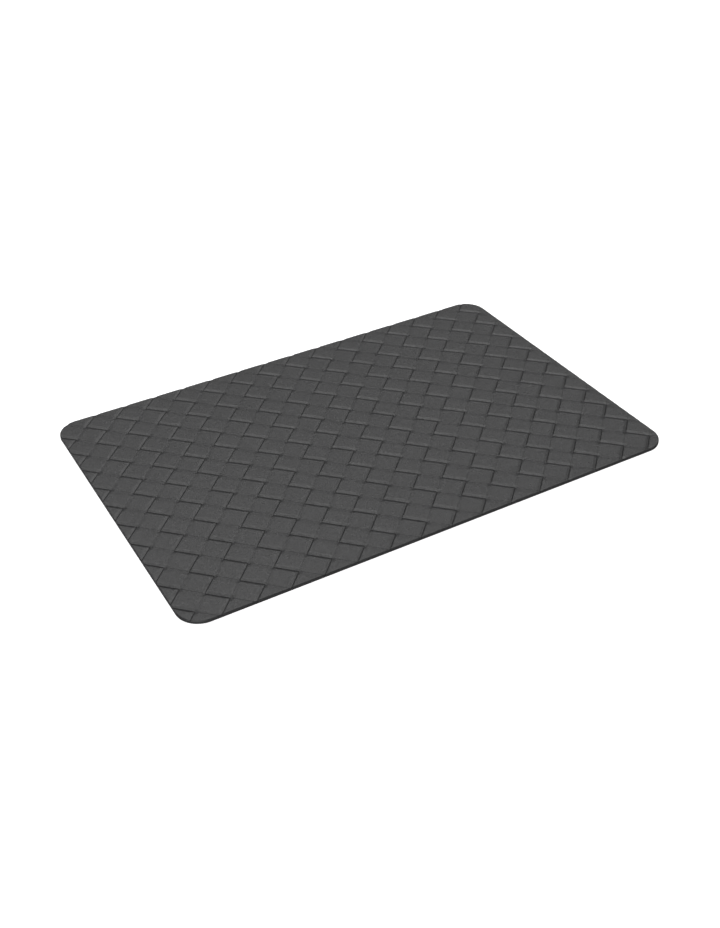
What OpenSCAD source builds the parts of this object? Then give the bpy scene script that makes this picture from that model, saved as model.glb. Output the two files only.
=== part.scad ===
// Anti fatigue mat, a die-cut laminate with a woven-strap relief pressed into its vinyl skin.
// X runs along the long side, Y along the short side and Z is up. The origin is the
// centre of the underside, on the floor.

/* [Outline] */
// Length of the long side
mat_l = 762; // [450:1:914]
// Length of the short side
mat_w = 508; // [400:1:610]
// Radius of the four corners in plan
corner_r = 34; // [10:1:60]

/* [Layers] */
// Thickness of the grip base, tread ribs included
base_t = 0.9; // [0.7:0.1:2.5]
// Thickness of the foam core
foam_t = 2.3; // [1.5:0.1:16]
// Thickness of the knitted cloth that carries the vinyl
cloth_t = 0.3; // [0.2:0.1:0.8]
// Thickness of the vinyl at the bottom of its relief
skin_t = 0.4; // [0.4:0.1:1.5]
// Height of the strap tops above the bottom of the relief
relief_h = 1.1; // [0.3:0.1:1.2]

/* [Woven relief] */
// Diagonal of one diamond, and the pitch of the pattern along X and Y
diamond = 48.5; // [30:0.5:60]
// Width of the valley between two straps
valley_w = 0.8; // [0.5:0.1:2]
// Length over which a strap dives under its neighbour
dive_l = 8; // [4:0.5:9]
// Height of a strap's end above the bottom of the relief
dive_h = 0.2; // [0.1:0.05:0.3]
// Shift of the pattern along X from the mat's centre
weave_x = 26.2; // [-25:0.1:50]
// Shift of the pattern along Y from the mat's centre
weave_y = -11.8; // [-25:0.1:25]
// Turn of the pattern against the mat's outline, in degrees, as the sheet lay when it was cut
weave_turn = 0.4; // [-1:0.1:1]

/* [Grip tread] */
// Pitch of the hexagonal pockets in the underside
tread_pitch = 30; // [24:1:40]
// Width of a pocket across its flats
pocket_w = 21; // [12:1:22]
// Depth of a pocket
pocket_d = 0.4; // [0.3:0.1:0.5]
// Plain border left round the tread
tread_border = 12; // [8:1:30]

/* [Hidden] */
$fn = 96;
// Heights of the faces where one layer meets the next
foam_z = base_t;
cloth_z = foam_z + foam_t;
skin_z = cloth_z + cloth_t;
relief_z = skin_z + skin_t;
// A strap shows as a square of this side, turned by 45 degrees
strap_w = diamond / sqrt(2) - valley_w;
// Depth to which a strap is sunk in the vinyl below it, so that both are one solid
strap_root = 0.3;
// Pattern cells on each side of the centre that are enough to cover the mat
cells_x = ceil(mat_l / diamond / 2) + 1;
cells_y = ceil(mat_w / diamond / 2) + 1;
// Spacing of the rows of pockets, and the rows and columns on each side of the centre
row_pitch = tread_pitch * sqrt(3) / 2;
pocket_cols = floor(mat_l / tread_pitch / 2);
pocket_rows = floor(mat_w / row_pitch / 2);
cut_extra = 1;

// One layer of the laminate, cut to the outline of the mat
module layer(z, t) {
    x = mat_l / 2 - corner_r;
    y = mat_w / 2 - corner_r;
    translate([0, 0, z])
        linear_extrude(height = t)
            union() {
                square([mat_l, 2 * y], center = true);
                square([2 * x, mat_w], center = true);
                for (sx = [-1, 1], sy = [-1, 1])
                    translate([sx * x, sy * y])
                        circle(r = corner_r);
            }
}

// One strap where it lies on top, running along local X, with both ends diving
module strap() {
    half = strap_w / 2;
    flat_half = half - dive_l;
    rotate([90, 0, 0])
        linear_extrude(height = strap_w, center = true)
            polygon([
                [-half, -strap_root],
                [half, -strap_root],
                [half, dive_h],
                [flat_half + dive_l / 2, relief_h * 0.8],
                [flat_half, relief_h],
                [-flat_half, relief_h],
                [-flat_half - dive_l / 2, relief_h * 0.8],
                [-half, dive_h]
            ]);
}

// True where a strap centred on x, y reaches into the mat's outline
function over_mat(x, y) =
    abs(x) < (mat_l + diamond) / 2 && abs(y) < (mat_w + diamond) / 2
    && (mat_l + mat_w + diamond) / 2 - corner_r > abs(x) + abs(y) - corner_r / 2;

// Two families of straps, one on each diagonal, which take turns on top
module straps() {
    for (i = [-cells_x : cells_x], j = [-cells_y : cells_y], k = [0, 1]) {
        along = (i + k / 2) * diamond;
        up = (j + k / 2) * diamond;
        x = weave_x + along * cos(weave_turn) - up * sin(weave_turn);
        y = weave_y + along * sin(weave_turn) + up * cos(weave_turn);
        if (over_mat(x, y))
            translate([x, y, relief_z])
                rotate(weave_turn + (k == 0 ? 45 : -45))
                    strap();
    }
}

// Vinyl skin: a thin sheet with the woven straps raised on it
module embossed_skin() {
    color("#4f4f50")
        union() {
            layer(skin_z, skin_t);
            intersection() {
                straps();
                layer(skin_z, skin_t + 2 * relief_h);
            }
        }
}

// Knitted cloth on the back of the vinyl
module backing_cloth() {
    color("#3a3a3c")
        layer(cloth_z, cloth_t);
}

// Closed-cell foam that gives the mat its cushion
module foam_core() {
    color("#1d1d1f")
        layer(foam_z, foam_t);
}

// Hexagonal pockets of the tread, in staggered rows inside the plain border
module tread_pockets() {
    reach_x = mat_l / 2 - tread_border - pocket_w / 2;
    reach_y = mat_w / 2 - tread_border - pocket_w / 2;
    for (j = [-pocket_rows : pocket_rows], i = [-pocket_cols : pocket_cols]) {
        x = (i + (abs(j) % 2 == 1 ? 0 : 0.5)) * tread_pitch;
        y = j * row_pitch;
        // Pockets that would run into a rounded corner are left out
        cx = max(abs(x) - (mat_l / 2 - corner_r), 0);
        cy = max(abs(y) - (mat_w / 2 - corner_r), 0);
        clear = norm([cx, cy]) < max(corner_r - tread_border - pocket_w / 2, 0.01);
        if (abs(x) <= reach_x && abs(y) <= reach_y && clear)
            translate([x, y, -cut_extra])
                rotate(30)
                    cylinder(r = pocket_w / sqrt(3), h = pocket_d + cut_extra, $fn = 6);
    }
}

// Grip base: a sheet whose underside is one web of ribs round hexagonal pockets
module non_slip_base() {
    color("#161617")
        difference() {
            layer(0, base_t);
            tread_pockets();
        }
}

non_slip_base();
foam_core();
backing_cloth();
embossed_skin();
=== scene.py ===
"""Anti fatigue mat, 762 x 508 x 5 mm, in four bonded layers: a vinyl skin with a woven-strap
relief, a knitted backing cloth, a foam core and a grip base with a hexagonal tread."""
import math

import bmesh
import bpy
import numpy as np
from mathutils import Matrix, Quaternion, Vector, noise


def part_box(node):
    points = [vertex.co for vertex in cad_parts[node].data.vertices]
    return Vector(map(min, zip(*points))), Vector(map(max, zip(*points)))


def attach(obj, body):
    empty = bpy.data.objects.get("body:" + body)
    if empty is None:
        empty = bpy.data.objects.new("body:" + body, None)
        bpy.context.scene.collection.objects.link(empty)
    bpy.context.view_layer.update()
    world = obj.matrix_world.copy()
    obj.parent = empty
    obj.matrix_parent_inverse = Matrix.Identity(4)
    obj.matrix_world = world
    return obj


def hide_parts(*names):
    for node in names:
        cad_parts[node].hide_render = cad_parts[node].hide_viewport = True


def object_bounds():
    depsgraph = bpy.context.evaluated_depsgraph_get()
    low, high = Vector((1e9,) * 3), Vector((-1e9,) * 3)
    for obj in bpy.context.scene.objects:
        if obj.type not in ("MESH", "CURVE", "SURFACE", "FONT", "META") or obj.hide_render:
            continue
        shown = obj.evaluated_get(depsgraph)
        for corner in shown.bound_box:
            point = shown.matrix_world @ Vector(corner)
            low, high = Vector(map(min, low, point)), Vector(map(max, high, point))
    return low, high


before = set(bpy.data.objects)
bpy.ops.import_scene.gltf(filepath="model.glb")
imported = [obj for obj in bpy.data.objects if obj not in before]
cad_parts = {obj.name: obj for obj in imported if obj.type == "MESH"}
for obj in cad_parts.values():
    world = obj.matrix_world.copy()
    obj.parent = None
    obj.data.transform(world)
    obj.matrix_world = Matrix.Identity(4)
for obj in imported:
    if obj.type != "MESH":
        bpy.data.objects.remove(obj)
cad_low, cad_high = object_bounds()

MM = 0.001

# ---------------------------------------------------------------- sizes, in metres
HALF_X = (cad_high.x - cad_low.x) / 2
HALF_Y = (cad_high.y - cad_low.y) / 2
CORNER_R = 34 * MM

base_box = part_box("non_slip_base")
foam_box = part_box("foam_core")
cloth_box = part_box("backing_cloth")
skin_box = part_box("embossed_skin")

# woven relief
DIAMOND = 48.5 * MM        # one square of the weave, from point to point
STRAP_W = DIAMOND / math.sqrt(2)
WEAVE_X = 27.05 * MM       # middle of one square
WEAVE_Y = -10.95 * MM
WEAVE_ANGLE = math.radians(45.4)
RELIEF_H = 1.2 * MM
SEAM_RISE = 6.5 * MM       # a seam at full height rises from its corners over this length
# each seam between two straps: its height as a share of the relief, then how far the strap that
# ends there and the strap that passes there fall towards it
FRONT_SEAM = (0.02, 6.0 * MM, 3.9 * MM)
BACK_SEAM = (0.75, 9.0 * MM, 0.8 * MM)
LEFT_SEAM = (0.3, 5.0 * MM, 1.4 * MM)
RIGHT_SEAM = (0.8, 6.0 * MM, 2.5 * MM)
CREASE_SHADE_W = 1.5 * MM        # the painted shade, with duller gloss, on each side of a seam
SHOULDER_POWER = 1.5
# mesh lines of half a strap, counted from its edge: close together at the seam
WEAVE_LINES = (0, 0.15, 0.4, 0.8, 1.3, 1.9, 2.5, 3.2, 4.2, 5.4, 6.8, 8.2, 10.5, 13.8)  # mm

# die-cut rim
RIM_R = 1.1 * MM
RIM_LINES = (0.15, 0.4, 0.75, 1.1, 1.9, 3.2, 5.0)  # mesh lines, mm in from the outline

# grip tread
TREAD_PITCH = 30 * MM
POCKET_W = 21 * MM
POCKET_D = 0.4 * MM
POCKET_ROUND = 0.9 * MM    # width over which a pocket's edge rounds down to its floor
POCKET_CORNER = 2.2 * MM   # rounding of a pocket's corners in plan
TREAD_BORDER = 12 * MM
ROW_PITCH = TREAD_PITCH * math.sqrt(3) / 2
POCKET_RINGS = (0.25, 0.6, 0.86, 0.9, 0.93, 0.955, 0.98, 1.0, 1.06)  # mesh lines, in half pockets
POCKET_SPOKES = (2, 14, 30, 46, 58)  # mesh lines of a sixth of a pocket, degrees
BASE_RIM = 0.3 * MM
BASE_RIM_LINES = (0.12, 0.3)  # mm
CELL_REACH = 0.6 * TREAD_PITCH  # from a tread cell's middle to just past its corners
WELD = 0.01 * MM           # mesh points nearer than this are one

# cut edges of the foam and the cloth
FOAM_STEP = 0.9 * MM       # mesh spacing round the foam
FOAM_LINES = (0.0, 0.12, 0.3, 0.5, 0.7, 0.88, 1.0)  # mesh lines up its edge, shares of its height
FOAM_PINCH = 0.22 * MM     # how far the middle of the foam's edge draws in
CELL_DEPTH = 0.16 * MM     # depth of the cut cells
CELLS_PER_M = 950
LOOP_STEP = 0.65 * MM      # from a loop of the knit to the gap beside it
LOOP_DEPTH = 0.14 * MM
FRAY_DEPTH = 0.1 * MM
FRAYS_PER_M = 60

CORNER_STEPS = 24          # mesh steps round a corner, at least

# camera
CAMERA_AT = (-0.7077, -1.2836, 1.0147)
CAMERA_TURN = (-27.94, 35.97, -1.95)  # azimuth from the front towards +X, elevation, roll: degrees
CAMERA_LENS = 46.45
CAMERA_SHIFT_X = 0.0216

# stage, in metres
FLOOR_HALF = 12
BACKDROP_R = 30
SUN_DISTANCE = 2.6
FLOOR_GREY = (0.8, 0.8, 0.8, 1)
BLACK = (0, 0, 0, 1)
WHITE = (1, 1, 1, 1)
WORLD_LIGHT = 0.18


# ---------------------------------------------------------------- outline of the mat
def edge_distance(x, y):
    """Signed distance to the outline, below zero inside; x and y are arrays or numbers."""
    qx = np.abs(x) - (HALF_X - CORNER_R)
    qy = np.abs(y) - (HALF_Y - CORNER_R)
    outside = np.hypot(np.maximum(qx, 0), np.maximum(qy, 0))
    return outside + np.minimum(np.maximum(qx, qy), 0) - CORNER_R


def outline(spacing):
    """Points round the mat, counter-clockwise, at about that spacing, and the outward
    direction at each."""
    points, outward = [], []
    for quarter, (sx, sy) in enumerate(((1, 1), (-1, 1), (-1, -1), (1, -1))):
        centre = np.array((sx * (HALF_X - CORNER_R), sy * (HALF_Y - CORNER_R)))
        steps = max(CORNER_STEPS, round(CORNER_R * math.pi / 2 / spacing))
        for k in range(steps + 1):
            a = (quarter + k / steps) * math.pi / 2
            way = np.array((math.cos(a), math.sin(a)))
            points.append(centre + CORNER_R * way)
            outward.append(way)
        straight = 2 * (HALF_X if quarter % 2 == 0 else HALF_Y) - 2 * CORNER_R
        steps = max(1, round(straight / spacing))
        along = np.array((-outward[-1][1], outward[-1][0])) * straight / steps
        start, way = points[-1], outward[-1]
        for k in range(1, steps):
            points.append(start + along * k)
            outward.append(way)
    return np.array(points), np.array(outward)


# ---------------------------------------------------------------- mesh helpers
def new_piece(name, bm, material, smooth=True):
    mesh = bpy.data.meshes.new(name)
    bm.to_mesh(mesh)
    bm.free()
    for face in mesh.polygons:
        face.use_smooth = smooth
    piece = bpy.data.objects.new(name, mesh)
    bpy.context.scene.collection.objects.link(piece)
    mesh.materials.append(material)
    return piece


def mesh_of(points, faces):
    mesh = bpy.data.meshes.new("mesh")
    mesh.from_pydata(points.tolist(), [], faces)
    bm = bmesh.new()
    bm.from_mesh(mesh)
    bpy.data.meshes.remove(mesh)
    return bm


def cut_level(bm, level, tiny=1e-7):
    """Adds edges to a flat mesh where the distance to the outline is that level."""
    bm.verts.ensure_lookup_table()
    co = np.array([v.co.xy for v in bm.verts])
    value = edge_distance(co[:, 0], co[:, 1]) - level
    value[np.abs(value) < tiny] = 0
    bm.verts.index_update()
    bm.edges.ensure_lookup_table()
    ends = np.array([(e.verts[0].index, e.verts[1].index) for e in bm.edges])
    crossing = np.nonzero(value[ends[:, 0]] * value[ends[:, 1]] < 0)[0]
    edges = [bm.edges[k] for k in crossing]
    pairs = [(bm.verts[a], bm.verts[b], value[a], value[b]) for a, b in ends[crossing]]
    on_line = {bm.verts[k] for k in np.nonzero(value == 0)[0]}
    for edge, (a, b, va, vb) in zip(edges, pairs):
        share = va / (va - vb)
        made = bmesh.utils.edge_split(edge, a, share)[1]
        # two secant steps bring the point onto the rounded corner
        for _ in range(2):
            d = float(edge_distance(made.co.x, made.co.y)) - level
            slope = (vb - va) / max((b.co.xy - a.co.xy).length, tiny)
            along = (b.co - a.co).normalized()
            made.co -= along * (d / slope)
        on_line.add(made)
    faces = {f for v in on_line for f in v.link_faces}
    for face in faces:
        hits = [v for v in face.verts if v in on_line]
        if len(hits) == 2 and not any(e.other_vert(hits[0]) == hits[1] for e in hits[0].link_edges):
            bmesh.utils.face_split(face, hits[0], hits[1])


def cut_to_outline(bm, lines):
    """Cuts a flat mesh along the outline, and adds mesh lines at those millimetres inside it."""
    cut_level(bm, 0)
    gone = []
    for face in bm.faces:
        c = face.calc_center_median()
        if edge_distance(c.x, c.y) > 0:
            gone.append(face)
    bmesh.ops.delete(bm, geom=gone, context="FACES")
    for depth in lines:
        cut_level(bm, -depth * MM)


def close_flat(bm, z):
    """Extrudes the open rim straight to height z and closes it with one flat face."""
    rim = [e for e in bm.edges if e.is_boundary]
    made = bmesh.ops.extrude_edge_only(bm, edges=rim)["geom"]
    for v in made:
        if isinstance(v, bmesh.types.BMVert):
            v.co.z = z
    loop = [g for g in made if isinstance(g, bmesh.types.BMEdge) and g.is_boundary]
    bmesh.ops.contextual_create(bm, geom=loop)
    for edge in loop:
        edge.smooth = False
    bmesh.ops.recalc_face_normals(bm, faces=bm.faces)


# ---------------------------------------------------------------- woven relief
def smooth(t):
    t = np.clip(t, 0, 1)
    return t * t * (3 - 2 * t)


def fillet(t):
    """A quarter circle, steep at 0 and level at 1."""
    t = np.clip(t, 0, 1)
    return np.sqrt(1 - (1 - t) ** 2)


def shoulder(t):
    """Rises from 0 at a slope and levels off at 1."""
    t = np.clip(t, 0, 1)
    return 1 - (1 - t) ** SHOULDER_POWER


def weave_axes(x, y):
    """Position along the two strap directions, in strap widths. A strap's middle is at a
    whole number."""
    dx, dy = x - WEAVE_X, y - WEAVE_Y
    u = (dx * math.cos(WEAVE_ANGLE) + dy * math.sin(WEAVE_ANGLE)) / STRAP_W
    v = (dy * math.cos(WEAVE_ANGLE) - dx * math.sin(WEAVE_ANGLE)) / STRAP_W
    return u, v


def weave_relief(x, y):
    """Relief at points of the mat: its height, from 0 in a corner of a seam to 1 on a strap's top,
    and the painted shade in the crease beside each seam, from 0 to 1."""
    u, v = weave_axes(x, y)
    i, j = np.round(u), np.round(v)
    u, v = u - i, v - j
    first = (i + j) % 2 == 0       # straps that run along u lie on top here
    high = np.ones_like(u)
    painted_crease_shade = np.zeros_like(u)
    # each side of a square: distance to it, place along it, and the seam there in both kinds of
    # square
    for past, beside, first_seam, second_seam in (
        (0.5 + u, v, FRONT_SEAM, BACK_SEAM),
        (0.5 - u, v, BACK_SEAM, FRONT_SEAM),
        (0.5 - v, u, LEFT_SEAM, RIGHT_SEAM),
        (0.5 + v, u, RIGHT_SEAM, LEFT_SEAM),
    ):
        past = past * STRAP_W
        corner = (0.5 - np.abs(beside)) * STRAP_W
        for here, seam, runs_along_u in ((first, first_seam, True), (~first, second_seam, False)):
            level, end_w, side_w = seam
            crosses_u = seam in (FRONT_SEAM, BACK_SEAM)
            fall = smooth(past / end_w) if crosses_u == runs_along_u else shoulder(past / side_w)
            low = level * smooth(corner / (SEAM_RISE * math.sqrt(level)))
            high = np.where(here, np.minimum(high, low + (1 - low) * fall), high)
            # painted shade: the crease beside a seam is darker the lower that seam lies, so the low
            # front and left seams get the darkest lines
            dull = (1 - level) * (1 - smooth(past / CREASE_SHADE_W))
            painted_crease_shade = np.where(here, np.maximum(painted_crease_shade, dull), painted_crease_shade)
    return high, painted_crease_shade


def rim_drop(x, y):
    """How far the rounded, die-cut rim falls below the face of the mat."""
    inside = np.maximum(-edge_distance(x, y), 0)
    return RIM_R * (1 - fillet(inside / RIM_R))


def build_skin(material):
    half = [line * MM / STRAP_W for line in WEAVE_LINES]
    cell = np.array(half + [0.5] + [1 - line for line in reversed(half[1:])])
    reach = math.ceil((HALF_X + HALF_Y) / math.sqrt(2) / STRAP_W) + 2
    lines = np.concatenate([k - 0.5 + cell for k in range(-reach, reach)])
    n = len(lines)
    u, v = np.meshgrid(lines, lines, indexing="ij")
    x = WEAVE_X + (u * math.cos(WEAVE_ANGLE) - v * math.sin(WEAVE_ANGLE)) * STRAP_W
    y = WEAVE_Y + (u * math.sin(WEAVE_ANGLE) + v * math.cos(WEAVE_ANGLE)) * STRAP_W
    inside = edge_distance(x, y) < 0
    used = inside[:-1, :-1] | inside[1:, :-1] | inside[:-1, 1:] | inside[1:, 1:]
    qi, qj = np.nonzero(used)
    index = np.arange(n * n).reshape(n, n)
    quads = np.stack(
        [index[qi, qj], index[qi + 1, qj], index[qi + 1, qj + 1], index[qi, qj + 1]], 1
    )
    kept, quads = np.unique(quads, return_inverse=True)
    quads = quads.reshape(-1, 4)
    points = np.stack([x.ravel()[kept], y.ravel()[kept], np.zeros(len(kept))], 1)
    bm = mesh_of(points, quads.tolist())
    cut_to_outline(bm, RIM_LINES)
    co = np.array([p.co.xy for p in bm.verts])
    high, painted_crease_shade = weave_relief(co[:, 0], co[:, 1])
    high = skin_box[1][2] - RELIEF_H * (1 - high) - rim_drop(co[:, 0], co[:, 1])
    # each point keeps its painted crease shade, which darkens the skin's colour
    layer = bm.verts.layers.float.new("painted_crease_shade")
    for p, z, c in zip(bm.verts, high, painted_crease_shade):
        p.co.z = z
        p[layer] = c
    close_flat(bm, skin_box[0][2])
    return new_piece("vinyl_skin", bm, material)


# ---------------------------------------------------------------- layers under the skin
def ring_slab(name, rings, material):
    """A closed slab from rings of points, each (n, 3), listed from the bottom up."""
    n = len(rings[0])
    points = np.concatenate(rings)
    here = np.arange(n)
    after = (here + 1) % n
    faces = []
    for k in range(len(rings) - 1):
        low, high = k * n, (k + 1) * n
        faces += np.stack([low + here, low + after, high + after, high + here], 1).tolist()
    faces.append(here[::-1].tolist())
    faces.append((here + (len(rings) - 1) * n).tolist())
    bm = mesh_of(points, faces)
    for edge in bm.edges:
        if any(len(face.verts) > 4 for face in edge.link_faces):
            edge.smooth = False
    return new_piece(name, bm, material)


def build_foam(material):
    """The foam core: its die-cut edge is a little hollow and shows cut cells."""
    flat, outward = outline(FOAM_STEP)
    low, high = foam_box[0][2], foam_box[1][2]
    rings = []
    for share in FOAM_LINES:
        z = low + (high - low) * share
        hollow = FOAM_PINCH * math.sin(math.pi * share)
        edge = 0 < share < 1
        depth = np.array([
            hollow + (CELL_DEPTH * abs(noise.noise(Vector((x, y, z)) * CELLS_PER_M)) if edge else 0)
            for x, y in flat
        ])
        ring = flat - outward * depth[:, None]
        rings.append(np.column_stack([ring, np.full(len(ring), z)]))
    return ring_slab("foam_core_slab", rings, material)


def build_cloth(material):
    """The knitted cloth: loops stand out along its cut edge."""
    flat, outward = outline(LOOP_STEP)
    low, high = cloth_box[0][2], cloth_box[1][2]
    loop = LOOP_DEPTH * (np.arange(len(flat)) % 2)
    uneven = np.array([0.5 + noise.noise(Vector((x, y, 0)) * FRAYS_PER_M) for x, y in flat])
    ring = flat - outward * (loop + FRAY_DEPTH * np.clip(uneven, 0, 1))[:, None]
    rings = [np.column_stack([ring, np.full(len(ring), z)]) for z in (low, high)]
    return ring_slab("knit_backing", rings, material)


def pocket_share(x, y):
    """Depth of the tread at points of the underside, from 0 on a rib to 1 on a pocket's floor."""
    row = np.round(y / ROW_PITCH)
    shift = np.where(row % 2 == 1, 0.0, 0.5)
    column = np.round(x / TREAD_PITCH - shift)
    cx, cy = (column + shift) * TREAD_PITCH, row * ROW_PITCH
    half = POCKET_W / 2
    # a pocket is left out where it would reach into the plain border
    margin = TREAD_BORDER + half
    past_corner = np.hypot(
        np.maximum(np.abs(cx) - (HALF_X - CORNER_R), 0),
        np.maximum(np.abs(cy) - (HALF_Y - CORNER_R), 0),
    )
    real = (np.abs(cx) <= HALF_X - margin) & (np.abs(cy) <= HALF_Y - margin)
    real &= past_corner < CORNER_R - margin
    dx, dy = np.abs(x - cx), np.abs(y - cy)
    # distance to a hexagon drawn in by the corner rounding, its flats facing along X
    side = dx - (half - POCKET_CORNER)
    slant = dx / 2 + dy * math.sqrt(3) / 2 - (half - POCKET_CORNER)
    corner = (half - POCKET_CORNER) / math.sqrt(3)
    past = np.maximum(side, slant)
    tip_a = np.hypot(dx - (half - POCKET_CORNER), dy - corner)
    tip_b = np.hypot(dx, dy - 2 * corner)
    beyond_a = (side > 0) & (slant > side / 2) & (dy > corner)
    beyond_b = dx * math.sqrt(3) < dy - 2 * corner
    past = np.where(beyond_a, tip_a, np.where(beyond_b, tip_b, past))
    inside = POCKET_CORNER - past
    return np.where(real, smooth(inside / POCKET_ROUND), 0.0)


def tread_cell():
    """Rings of one tread cell about its centre: the angle of each spoke, and each ring's radius
    at the spokes. The cell's own hexagon is outermost."""
    turns = np.radians([60 * sixth + spoke for sixth in range(6) for spoke in POCKET_SPOKES])
    # radius to a hexagon of unit half width, its flats facing along X
    fold = (turns + math.pi / 6) % (math.pi / 3) - math.pi / 6
    unit = 1 / np.cos(fold)
    rings = [unit * half for half in np.array(POCKET_RINGS) * POCKET_W / 2]
    return turns, rings + [unit * TREAD_PITCH / 2]


def build_base(material):
    turns, rings = tread_cell()
    n = len(turns)
    cell = [(0.0, 0.0)]
    for radius in rings:
        cell += list(zip(radius * np.cos(turns), radius * np.sin(turns)))
    cell = np.array(cell)
    quads, fan = [], []
    for k in range(n):
        after = (k + 1) % n
        fan.append((0, 1 + k, 1 + after))
        for ring in range(len(rings) - 1):
            low = 1 + ring * n
            quads.append((low + k, low + n + k, low + n + after, low + after))
    rows = math.ceil(HALF_Y / ROW_PITCH) + 1
    columns = math.ceil(HALF_X / TREAD_PITCH) + 1
    points, faces = [], []
    for row in range(-rows, rows + 1):
        for column in range(-columns, columns + 1):
            centre = ((column + (0.0 if row % 2 else 0.5)) * TREAD_PITCH, row * ROW_PITCH)
            if edge_distance(*centre) > CELL_REACH:
                continue
            first = len(points) * len(cell)
            points.append(cell + centre)
            faces += [tuple(first + c for c in f) for f in fan + quads]
    points = np.concatenate(points)
    bm = mesh_of(np.column_stack([points, np.zeros(len(points))]), faces)
    bmesh.ops.remove_doubles(bm, verts=[v for v in bm.verts if v.is_boundary], dist=WELD)
    cut_to_outline(bm, BASE_RIM_LINES)
    co = np.array([p.co.xy for p in bm.verts])
    inside = np.maximum(-edge_distance(co[:, 0], co[:, 1]), 0)
    high = pocket_share(co[:, 0], co[:, 1]) * POCKET_D + BASE_RIM * (1 - fillet(inside / BASE_RIM))
    for p, h in zip(bm.verts, high):
        p.co.z = base_box[0][2] + h
    close_flat(bm, base_box[1][2])
    return new_piece("grip_base", bm, material)


# ---------------------------------------------------------------- materials
def new_material(name):
    made = bpy.data.materials.new(name)
    made.use_nodes = True
    tree = made.node_tree
    return made, tree, tree.nodes["Principled BSDF"]


def node(tree, kind, **values):
    made = tree.nodes.new(kind)
    for key, value in values.items():
        if key in made.inputs:
            made.inputs[key].default_value = value
        else:
            setattr(made, key, value)
    return made


def pattern(tree, kind, **values):
    """A texture in the piece's own coordinates."""
    place = node(tree, "ShaderNodeTexCoord")
    made = node(tree, kind, **values)
    tree.links.new(place.outputs["Object"], made.inputs["Vector"])
    return made


def tones(tree, source, dark, light, start=0.0, end=1.0):
    """The tone between dark and light where the source goes from start to end."""
    ramp = node(tree, "ShaderNodeValToRGB")
    first, last = ramp.color_ramp.elements
    first.position, first.color = start, (*dark, 1)
    last.position, last.color = end, (*light, 1)
    tree.links.new(source, ramp.inputs["Fac"])
    return ramp.outputs["Color"]


def ranged(tree, source, low, high, start=0.0, end=1.0):
    """A number from low to high where the source goes from start to end."""
    limits = {"From Min": start, "From Max": end, "To Min": low, "To Max": high}
    made = node(tree, "ShaderNodeMapRange", **limits)
    tree.links.new(source, made.inputs["Value"])
    return made.outputs["Result"]


def bumped(tree, shader, source, strength, depth):
    bump = node(tree, "ShaderNodeBump", Strength=strength, Distance=depth)
    tree.links.new(source, bump.inputs["Height"])
    tree.links.new(bump.outputs["Normal"], shader.inputs["Normal"])


def vinyl():
    made, tree, shader = new_material("charcoal_vinyl")
    link = tree.links.new
    cloud = pattern(tree, "ShaderNodeTexNoise", Scale=9.0, Detail=3.0)
    tone = tones(
        tree, cloud.outputs["Fac"], (0.0185, 0.0185, 0.019), (0.0215, 0.0215, 0.022), 0.35, 0.65
    )
    # painted shade: the creases along the seams get a darker base colour, down to a tenth, and a
    # lower specular level
    painted_crease_shade = node(tree, "ShaderNodeAttribute", attribute_name="painted_crease_shade")
    shade = ranged(tree, painted_crease_shade.outputs["Fac"], 1.0, 0.1)
    shade_painted_tone = node(tree, "ShaderNodeVectorMath", operation="SCALE")
    link(tone, shade_painted_tone.inputs[0])
    link(shade, shade_painted_tone.inputs["Scale"])
    link(shade_painted_tone.outputs["Vector"], shader.inputs["Base Color"])
    gloss = node(tree, "ShaderNodeMath", operation="MULTIPLY")
    gloss.inputs[1].default_value = 0.5
    link(shade, gloss.inputs[0])
    link(gloss.outputs["Value"], shader.inputs["Specular IOR Level"])
    # leather grain: pebbles with wrinkles over them
    pebbles = pattern(tree, "ShaderNodeTexVoronoi", Scale=900.0, feature="DISTANCE_TO_EDGE")
    wrinkles = pattern(tree, "ShaderNodeTexNoise", Scale=360.0, Detail=4.0, Roughness=0.6)
    both = node(tree, "ShaderNodeMath", operation="ADD")
    link(pebbles.outputs["Distance"], both.inputs[0])
    link(wrinkles.outputs["Fac"], both.inputs[1])
    bumped(tree, shader, both.outputs["Value"], 0.8, 0.3 * MM)
    dull = ranged(tree, wrinkles.outputs["Fac"], 0.54, 0.22, 0.3, 0.7)
    link(dull, shader.inputs["Roughness"])
    return made


def grip_rubber():
    made, tree, shader = new_material("black_grip_rubber")
    link = tree.links.new
    cloud = pattern(tree, "ShaderNodeTexNoise", Scale=14.0, Detail=4.0)
    tone = tones(
        tree, cloud.outputs["Fac"], (0.012, 0.012, 0.0125), (0.02, 0.02, 0.0205), 0.35, 0.7
    )
    link(tone, shader.inputs["Base Color"])
    link(ranged(tree, cloud.outputs["Fac"], 0.55, 0.8), shader.inputs["Roughness"])
    grain = pattern(tree, "ShaderNodeTexNoise", Scale=1400.0, Detail=2.0)
    bumped(tree, shader, grain.outputs["Fac"], 0.35, 0.1 * MM)
    return made


def foam():
    made, tree, shader = new_material("black_foam")
    cells = pattern(tree, "ShaderNodeTexVoronoi", Scale=1600.0)
    tone = tones(
        tree, cells.outputs["Distance"], (0.01, 0.01, 0.0105), (0.024, 0.024, 0.025), end=0.6
    )
    tree.links.new(tone, shader.inputs["Base Color"])
    bumped(tree, shader, cells.outputs["Distance"], 0.5, 0.2 * MM)
    shader.inputs["Roughness"].default_value = 0.92
    return made


def knit():
    made, tree, shader = new_material("grey_knit")
    wales = pattern(
        tree, "ShaderNodeTexWave", Scale=240.0, Distortion=1.5, bands_direction="DIAGONAL"
    )
    tone = tones(tree, wales.outputs["Fac"], (0.02, 0.02, 0.021), (0.045, 0.045, 0.047))
    tree.links.new(tone, shader.inputs["Base Color"])
    bumped(tree, shader, wales.outputs["Fac"], 0.6, 0.2 * MM)
    shader.inputs["Roughness"].default_value = 0.85
    shader.inputs["Sheen Weight"].default_value = 0.3
    return made


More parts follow.
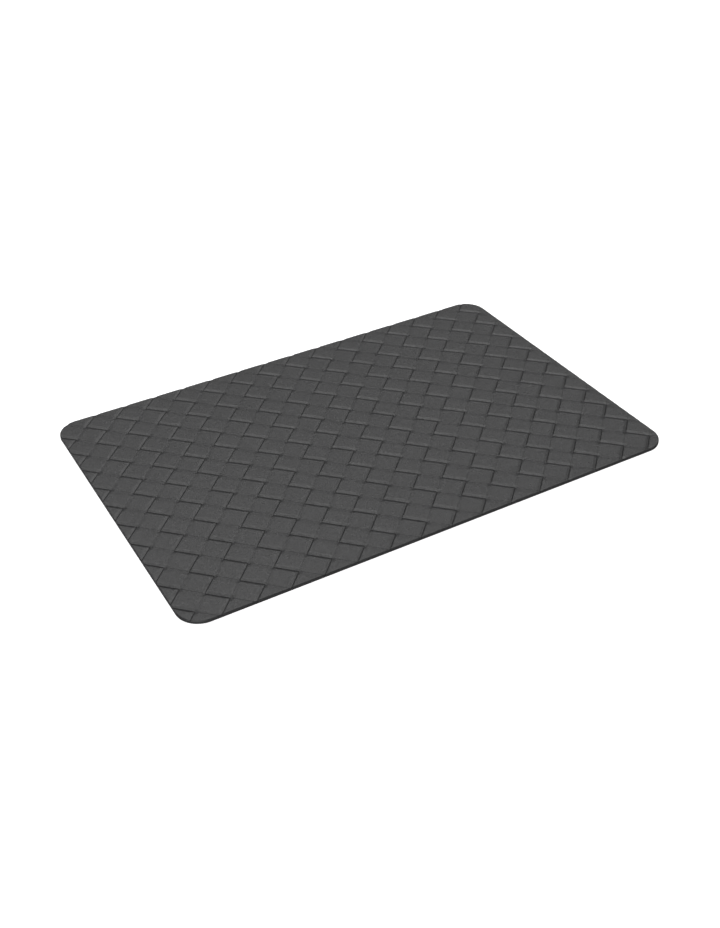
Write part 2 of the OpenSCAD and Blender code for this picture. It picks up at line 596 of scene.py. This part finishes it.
# ---------------------------------------------------------------- camera
def add_camera():
    data = bpy.data.cameras.new("camera")
    cam = bpy.data.objects.new("camera", data)
    bpy.context.scene.collection.objects.link(cam)
    azimuth, elevation, roll = (math.radians(a) for a in CAMERA_TURN)
    back = Vector((
        math.sin(azimuth) * math.cos(elevation),
        -math.cos(azimuth) * math.cos(elevation),
        math.sin(elevation),
    ))
    cam.rotation_mode = "QUATERNION"
    cam.location = CAMERA_AT
    cam.rotation_quaternion = back.to_track_quat("Z", "Y") @ Quaternion((0, 0, 1), roll)
    data.sensor_width = 36
    data.lens = CAMERA_LENS
    data.shift_x = CAMERA_SHIFT_X
    data.clip_start, data.clip_end = 0.05, 60
    bpy.context.scene.camera = cam


# ---------------------------------------------------------------- floor and light
def aim(azimuth, elevation, distance):
    """A place seen from the mat at that azimuth, from +Y towards +X, and elevation in degrees."""
    a, e = math.radians(azimuth), math.radians(elevation)
    return Vector((math.sin(a) * math.cos(e), math.cos(a) * math.cos(e), math.sin(e))) * distance


def only_for_camera(obj):
    """A stage piece that the camera sees, and that neither lights nor shades the mat."""
    obj.visible_diffuse = False
    obj.visible_glossy = False
    obj.visible_shadow = False


def add_floor():
    """A white floor that is open from below, so that the tread can be looked at."""
    bm = bmesh.new()
    bmesh.ops.create_grid(bm, x_segments=1, y_segments=1, size=FLOOR_HALF)
    white, tree, paint = new_material("floor_white")
    paint.inputs["Base Color"].default_value = FLOOR_GREY
    paint.inputs["Roughness"].default_value = 0.9
    paint.inputs["Emission Color"].default_value = WHITE
    paint.inputs["Emission Strength"].default_value = 0.8
    side = node(tree, "ShaderNodeNewGeometry")
    clear = node(tree, "ShaderNodeBsdfTransparent")
    mix = node(tree, "ShaderNodeMixShader")
    tree.links.new(side.outputs["Backfacing"], mix.inputs["Fac"])
    tree.links.new(paint.outputs["BSDF"], mix.inputs[1])
    tree.links.new(clear.outputs["BSDF"], mix.inputs[2])
    tree.links.new(mix.outputs["Shader"], tree.nodes["Material Output"].inputs["Surface"])
    only_for_camera(new_piece("floor", bm, white, smooth=False))


def add_backdrop():
    bm = bmesh.new()
    bmesh.ops.create_uvsphere(bm, u_segments=48, v_segments=24, radius=BACKDROP_R)
    white, _, paint = new_material("backdrop_white")
    paint.inputs["Base Color"].default_value = BLACK
    paint.inputs["Emission Color"].default_value = WHITE
    paint.inputs["Emission Strength"].default_value = 1.0
    only_for_camera(new_piece("backdrop", bm, white))


def add_lights():
    # azimuth, elevation and width in degrees, strength, and distance in metres, where 0 is a
    # lamp far away
    for name, azimuth, elevation, width, strength, distance in (
        ("back_light", 37, 60, 50, 1.4, 0),
        ("front_fill", 218, 12, 60, 1.8, 0),
        ("left_fill", -35, 50, 60, 0.4, 1.2),
        ("floor_bounce", 222, -35, 70, 1.1, 0),
        ("under_light", 20, -35, 60, 1.5, 0),
    ):
        half = math.radians(width / 2)
        if distance:
            data = bpy.data.lights.new(name, "AREA")
            data.shape = "DISK"
            data.size = 2 * distance * math.tan(half)
            data.energy = strength * math.pi * (distance / math.cos(half)) ** 2
        else:
            data = bpy.data.lights.new(name, "SUN")
            data.angle = 2 * half
            data.energy = strength
        lamp = bpy.data.objects.new(name, data)
        bpy.context.scene.collection.objects.link(lamp)
        lamp.visible_camera = False
        lamp.location = aim(azimuth, elevation, distance or SUN_DISTANCE)
        lamp.rotation_mode = "QUATERNION"
        lamp.rotation_quaternion = lamp.location.to_track_quat("Z", "Y")
    world = bpy.data.worlds.new("studio")
    world.use_nodes = True
    sky = world.node_tree.nodes["Background"]
    sky.inputs["Color"].default_value = WHITE
    sky.inputs["Strength"].default_value = WORLD_LIGHT
    bpy.context.scene.world = world
    bpy.context.scene.view_settings.view_transform = "Standard"


# ---------------------------------------------------------------- scene
add_camera()
add_floor()
add_backdrop()
add_lights()

skin = build_skin(vinyl())
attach(skin, "root")
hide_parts("embossed_skin")

core = build_foam(foam())
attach(core, "root")
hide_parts("foam_core")

cloth = build_cloth(knit())
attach(cloth, "root")
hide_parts("backing_cloth")

base = build_base(grip_rubber())
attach(base, "root")
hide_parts("non_slip_base")
